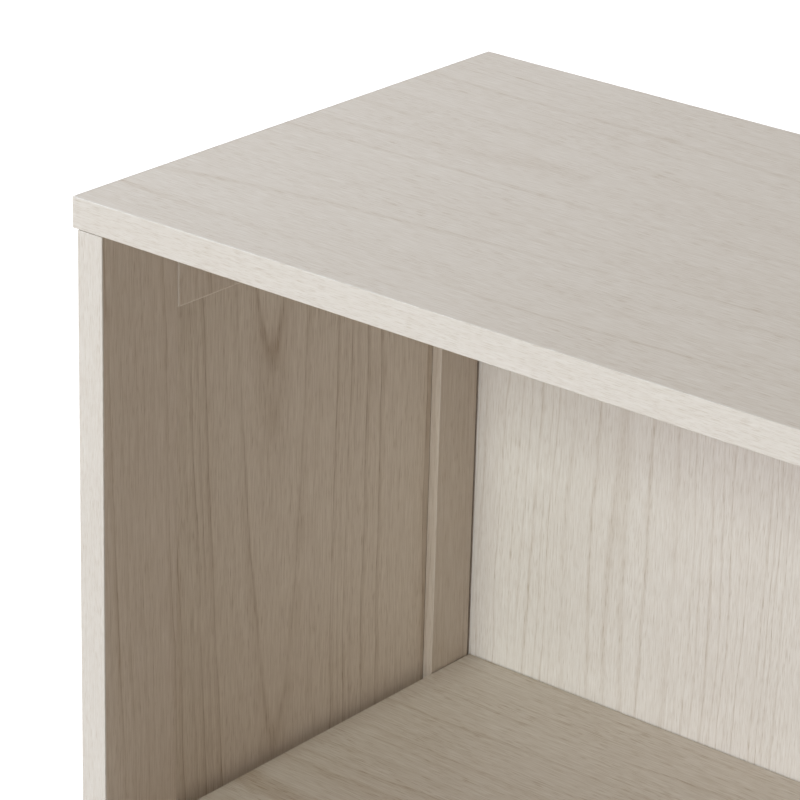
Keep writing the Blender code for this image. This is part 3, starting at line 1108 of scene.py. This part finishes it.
@dataclass
class Carcass:
    """The boards between and over the sides: top, shelves, back, plinth board and rear rail."""

    shelf_joint: float = 0.0004

    def build(self) -> list[Piece]:
        """Builds each board.

        Returns:
            The finished pieces.
        """
        shelves = enumerate(("bottom_panel", "lower_shelf", "upper_shelf"))
        boards = [self.top(), *(self.shelf(node, number) for number, node in shelves)]
        boards += [self.rail("kick_board", 0.03), self.rail("top_rear_rail", 0.98), self.back()]
        return [piece for board in boards for piece in board.build()]

    @staticmethod
    def top() -> Board:
        """Plans the top, whose figure has two hearts that open opposite ways.

        Returns:
            The board.
        """
        twin = Figure(pith=-0.092, tip=-0.064, depth=0.018, slope=-0.06, lean=0.06, ring=0.02, crowding=250.0)
        figure = Figure(
            pith=0.027, tip=-0.173, depth=0.024, slope=0.05, lean=-0.025, ring=0.02, crowding=260.0, wave=0.0028,
            before=0.16, after=0.12, heart=0.42, seed=44.0, twin=twin,
        )
        finish = Laminate(
            "top_panel_finish", Axis.WIDTH, Axis.DEPTH, figure, Side.UPPER, wash=linear(226, 220, 213),
            ring_share=0.23, line_width=0.13, pore_share=0.34, pore_rate=2600.0, pore_length=0.008,
            fibre_share=0.32, fibre_rate=1600.0, fibre_length=0.013,
        )
        return Board("top_panel", Axis.WIDTH, finish, (Side.FRONT, Side.REAR, Side.LEFT, Side.RIGHT), stopped=True)

    def shelf(self, node: str, number: int) -> Board:
        """Plans a shelf or the bottom panel.

        Args:
            node: Its node.
            number: Its number from below, which gives it a figure of its own. The lowest is the bottom panel.

        Returns:
            The board.
        """
        figure = Figure(
            pith=0.010 - 0.03 * number, tip=0.14 - 0.2 * number, depth=0.030, slope=0.01, lean=0.02, ring=0.014,
            crowding=300.0, wave=0.004, seed=50.0 + number,
        )
        finish = Laminate(
            f"{node}_finish", Axis.WIDTH, Axis.DEPTH, figure, Side.UPPER, wash=linear(227, 221, 213),
            ring_share=0.30, line_share=0.35, line_width=0.12, fibre_share=0.36,
        )
        joints = (Side.LEFT, Side.RIGHT, Side.REAR) if number else ()
        return Board(node, Axis.WIDTH, finish, (Side.FRONT,), joint=self.shelf_joint, joint_sides=joints)

    @staticmethod
    def rail(node: str, heart: float) -> Board:
        """Plans the plinth board or the top rear rail.

        Args:
            node: Its node.
            heart: How high the heart of its figure lies.

        Returns:
            The board.
        """
        finish = Laminate(
            f"{node}_finish", Axis.WIDTH, Axis.HEIGHT,
            Figure(pith=heart, tip=-0.1, depth=0.045, slope=0.01, seed=70.0 + heart), Side.FRONT,
            wash=linear(226, 221, 214), ring_share=0.28, pore_share=0.32, least_pores=0.5, fibre_share=0.26,
            fibre_length=0.020,
        )
        return Board(node, Axis.WIDTH, finish)

    @staticmethod
    def back() -> Board:
        """Plans the back.

        Returns:
            The board.
        """
        figure = Figure(
            pith=-0.188, tip=0.8756, depth=0.006, slope=0.03, lean=0.01, ring=0.018, crowding=1000.0, wave=0.0032,
            before=0.12, after=0.12, heart=0.7, seed=80.0,
        )
        finish = Laminate(
            "back_panel_finish", Axis.HEIGHT, Axis.WIDTH, figure, Side.FRONT, wash=linear(239, 235, 231),
            ring_share=0.26, line_share=0.75, line_width=0.22, pore_share=0.28, pore_rate=2600.0,
            pore_length=0.008, least_pores=0.6, fibre_share=0.22, fibre_length=0.015,
        )
        return Board("back_panel", Axis.HEIGHT, finish, slot=PANEL_SLOT)


@dataclass
class CamLock:
    """A cam, cast in zinc: a drum with a chamfered rim, a cross for the driver and a throat for the bolt's head."""

    node: str
    chamfer: float = 0.0004
    sides: int = 48
    slot_length: float = 0.0080
    slot_width: float = 0.0014
    slot_depth: float = 0.0022
    throat_radius: float = 0.0032
    throat_depth: float = 0.0090
    joiner: Joiner = field(default_factory=Joiner)

    def build(self) -> Piece:
        """Turns the drum and cuts the cross and the throat into it.

        Returns:
            The finished cam.
        """
        drum = Block.of(self.node)
        bolt = Block.of(self.node.replace("_cam_lock", "_cam_bolt"))
        odd = int(np.argmin(drum.size))
        radius = drum.size[Axis(odd).others[0]] / 2
        low, high = drum.low[odd], drum.high[odd]
        profile = [
            (low, 0.0),
            (low, radius - self.chamfer),
            (low + self.chamfer, radius),
            (high - self.chamfer, radius),
            (high, radius - self.chamfer),
            (high, 0.0),
        ]
        piece = turned(drum.line(odd), Axis(odd), profile, self.sides).made(f"{self.node}_casting")
        self.joiner.carve(piece, [*self.cross(drum, odd), self.throat(drum, bolt)])
        self.joiner.smooth(piece)
        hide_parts(self.node)
        return piece

    def cross(self, drum: Block, odd: int) -> list[Shape]:
        """The two slots of the driver's cross, on the face that shows: the lower one, or the one inside the bookcase.

        Args:
            drum: The space that the drum fills.
            odd: The drum's axis.

        Returns:
            The slots' closed shapes.
        """
        inwards = -1.0 if odd == Axis.HEIGHT.value else -math.copysign(1.0, drum.middle[odd])
        centre = drum.middle
        centre[odd] += inwards * drum.size[odd] / 2
        slots = []
        for long_way in Axis(odd).others:
            half = np.full(3, self.slot_width / 2)
            half[long_way] = self.slot_length / 2
            half[odd] = self.slot_depth
            slots.append(eased_block(Block(centre - half, centre + half), Axis(odd), self.chamfer / 4, 1))
        return slots

    def throat(self, drum: Block, bolt: Block) -> Shape:
        """The hole in the drum's wall through which the bolt's head comes in.

        Args:
            drum: The space that the drum fills.
            bolt: The space that the bolt fills.

        Returns:
            The hole's closed shape.
        """
        way = int(np.argmax(bolt.size))
        towards = math.copysign(1.0, bolt.middle[way] - drum.middle[way])
        start = drum.middle[way] + towards * (drum.size[way] / 2 + self.chamfer)
        low, high = sorted((start, start - towards * self.throat_depth))
        return turned(drum.line(way), Axis(way), rod(low, high, self.throat_radius), self.sides // 2)


@dataclass
class Glide:
    """A floor glide: a moulded foot with a rounded rim, nailed up into the stile."""

    node: str
    rim: float = 0.0016
    nail_radius: float = 0.0010
    sides: int = 48
    steps: int = 6
    head: float = 0.0050  # how thick the foot is
    joiner: Joiner = field(default_factory=Joiner)

    def build(self) -> Piece:
        """Turns the foot and its nail as one body.

        The foot's outline is a flat sole, a quarter circle up to its wall and a flat top, and the nail tapers from
        it to a point.

        Returns:
            The finished glide.
        """
        block = Block.of(self.node)
        width, _, tip = block.size
        radius, top = width / 2, self.head
        ease, taper = self.rim / 3, 3 * self.nail_radius
        angles = np.linspace(0, math.pi / 2, self.steps + 1)
        rim = zip(self.rim * (1 - np.cos(angles)), radius - self.rim * (1 - np.sin(angles)))
        upper = ((top - ease, radius), (top, radius - ease), (top, self.nail_radius), (tip - taper, self.nail_radius))
        profile = [(0.0, 0.0), *rim, *upper, (tip, 0.0)]
        piece = turned(block.line(Axis.HEIGHT.value), Axis.HEIGHT, profile, self.sides).made(f"{self.node}_foot")
        self.joiner.smooth(piece)
        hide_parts(self.node)
        return piece


@dataclass
class Fittings:
    """Cams, bolts, dowels and glides."""

    def build(self) -> list[Piece]:
        """Builds the cams and the glides, and dresses the frame's own bolts and dowels.

        Returns:
            The new pieces.
        """
        zinc, stain = linear(188, 188, 184), linear(120, 118, 112)
        casting = Metal("zinc_casting", zinc, stain, roughness=0.30, grit_rate=1400.0, relief=0.00005).material()
        plate, stain = linear(212, 210, 202), linear(160, 156, 140)
        steel = Metal("plated_steel", plate, stain, roughness=0.18, grit_rate=2600.0, relief=0.00001).material()
        beech = Beech("dowel_beech_finish").material()
        plastic = GlidePlastic("glide_finish").material()
        pieces = []
        for node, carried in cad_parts.items():
            if node.endswith("_cam_lock"):
                pieces.append(self.dressed(CamLock(node).build(), casting))
            elif node.endswith("_glide"):
                pieces.append(self.dressed(Glide(node).build(), plastic))
            elif node.endswith("_cam_bolt"):
                self.dressed(carried, steel)
            elif node.endswith("_dowel"):
                self.dressed(carried, beech)
        return pieces

    @staticmethod
    def dressed(piece: Piece, material: Material) -> Piece:
        """Gives a piece one material in place of what it has.

        Args:
            piece: The piece.
            material: The material.

        Returns:
            The same piece.
        """
        piece.data.materials.clear()
        piece.data.materials.append(material)
        return piece


@dataclass
class Floor:
    """A round floor, pale in every light and close to white for the camera, with the bookcase's shadow on it.

    From below it lets the eye through, so that the bookcase's underside can be looked at."""

    radius: float = 30.0
    sides: int = 96
    level: float = -0.0001  # so close under the glides' soles that neither hides the other from below
    colour: Colour = linear(225, 225, 223)
    roughness: float = 0.9
    gloss: float = 0.1
    glow: float = 1.2
    glow_step: Step = (0.9, 1.6, 0.76, 1.0)  # how much glow lies over the paint, by the distance from the middle

    def build(self) -> None:
        """Lays the floor."""
        angles = np.linspace(0, 2 * math.pi, self.sides, endpoint=False)
        level = np.full_like(angles, self.level)
        rim = np.stack((self.radius * np.cos(angles), self.radius * np.sin(angles), level), axis=-1)
        floor = Shape(rim, [list(range(self.sides))]).made("studio_floor")
        floor.data.materials.append(self.paint())
        floor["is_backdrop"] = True

    def paint(self) -> Material:
        """Writes the paint's nodes.

        Returns:
            The material.
        """
        recipe = Recipe("floor_paint")
        skin = {"Base Color": self.colour, "Roughness": self.roughness, "Specular IOR Level": self.gloss}
        recipe.fill(recipe.shader, skin)
        distance = recipe.node("VectorMath", recipe.place, operation="LENGTH").outputs["Value"]
        share = recipe.maths("MULTIPLY", recipe.seen(), recipe.rise(distance, *self.glow_step))
        glow = recipe.node("Emission", WHITE, self.glow)
        above = recipe.node("MixShader", share, recipe.shader.outputs[0], glow.outputs[0])
        below = recipe.node("NewGeometry").outputs["Backfacing"]
        clear = recipe.node("BsdfTransparent")
        both = recipe.node("MixShader", below, above.outputs[0], clear.outputs[0])
        recipe.fill(recipe.nodes["Material Output"], {"Surface": both.outputs[0]})
        return recipe.material


@dataclass(frozen=True)
class Lamp:
    """A soft rectangular lamp, turned to the bookcase."""

    name: str
    power: float  # in watts
    size: tuple[float, float]
    place: tuple[float, float, float]
    colour: Colour = WHITE

    def build(self) -> None:
        """Hangs the lamp, out of the camera's sight."""
        light = bpy.data.lights.new(self.name, "AREA")
        light.shape = "RECTANGLE"
        light.size, light.size_y = self.size
        light.energy = self.power
        light.color = self.colour
        lamp = bpy.data.objects.new(self.name, light)
        low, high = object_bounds()
        place = Vector(self.place)
        lamp.matrix_world = Matrix.LocRotScale(place, ((low + high) / 2 - place).to_track_quat("-Z", "Y"), None)
        lamp.visible_camera = False
        bpy.context.scene.collection.objects.link(lamp)


@dataclass
class Camera:
    """The camera, where the photograph was taken from.

    It looks by the azimuth to the left of the bookcase's depth and by the drop below the horizon, and is turned
    about its own line of sight by the roll."""

    place: tuple[float, float, float] = (0.778798, -1.251298, 1.605015)
    azimuth: float = math.radians(38.878)
    drop: float = math.radians(22.757)
    roll: float = math.radians(1.58)
    focal_pixels: float = 3651.199
    frame_pixels: float = 800.0
    sensor: float = 36.0
    reach: float = 100.0

    def build(self) -> None:
        """Sets up the camera."""
        ahead = Vector((-math.sin(self.azimuth), math.cos(self.azimuth), 0.0)) * math.cos(self.drop)
        ahead.z = -math.sin(self.drop)
        level = Vector((math.cos(self.azimuth), math.sin(self.azimuth), 0.0))
        upright = level.cross(ahead)
        right = level * math.cos(self.roll) + upright * math.sin(self.roll)
        up = upright * math.cos(self.roll) - level * math.sin(self.roll)
        lens = bpy.data.cameras.new("camera")
        lens.sensor_width = self.sensor
        lens.lens = self.focal_pixels * self.sensor / self.frame_pixels
        lens.clip_end = self.reach
        camera = bpy.data.objects.new("camera", lens)
        camera.matrix_world = Matrix.Translation(self.place) @ Matrix((right, up, -ahead)).transposed().to_4x4()
        bpy.context.scene.collection.objects.link(camera)
        bpy.context.scene.camera = camera


@dataclass
class Studio:
    """A pale floor, soft lamps, a plain world, and the camera."""

    room_colour: Colour = (0.20, 0.16, 0.12)
    lamps: tuple[Lamp, ...] = (
        Lamp("front_softbox", 88.0, (0.6, 1.0), (-0.3, -4.3, 3.3), (0.90, 1.0, 0.94)),
        Lamp("low_softbox", 67.0, (1.2, 1.4), (0.1, -4.8, 1.3), (0.92, 0.95, 1.0)),
        Lamp("left_softbox", 12.0, (1.6, 1.4), (-1.7, -4.3, 2.4), (0.81, 0.64, 1.0)),
        Lamp("over_softbox", 11.1, (0.9, 0.9), (-1.05, -0.27, 1.95), (0.77, 0.87, 1.0)),
        Lamp("rear_softbox", 36.0, (2.0, 1.6), (0.6, 2.8, 1.5)),
        Lamp("left_fill", 22.0, (1.4, 1.6), (-3.0, 0.5, 1.1)),
        Lamp("right_fill", 22.0, (1.4, 1.6), (3.0, 0.5, 1.1)),
    )

    def build(self) -> None:
        """Sets up the whole studio."""
        for fitting in (Floor(), *self.lamps, Camera()):
            fitting.build()
        self.world()
        bpy.context.scene.view_settings.view_transform = "Standard"

    def world(self) -> None:
        """A white background that lights the room at a lower level."""
        world = bpy.data.worlds.new("studio")
        world.use_nodes = True
        wiring = Wiring(world.node_tree)
        colour = wiring.mixed(wiring.seen(), self.room_colour, WHITE)
        wiring.fill(wiring.nodes["Background"], {"Color": colour})
        bpy.context.scene.world = world


def main() -> None:
    """Builds the bookcase part by part, then the studio."""
    logging.basicConfig(level=logging.INFO, format="%(name)s: %(message)s")
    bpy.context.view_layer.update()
    assemblies = [SideFrame(hand, 10.0 + 100.0 * number) for number, hand in enumerate(HANDS)]
    assemblies += [Carcass(), Fittings()]
    for assembly in assemblies:
        for piece in assembly.build():
            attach(piece, BODY)
            LOG.info("%s: %d faces", piece.name, len(piece.data.polygons))
    Studio().build()


if __name__ == "__main__":
    main()
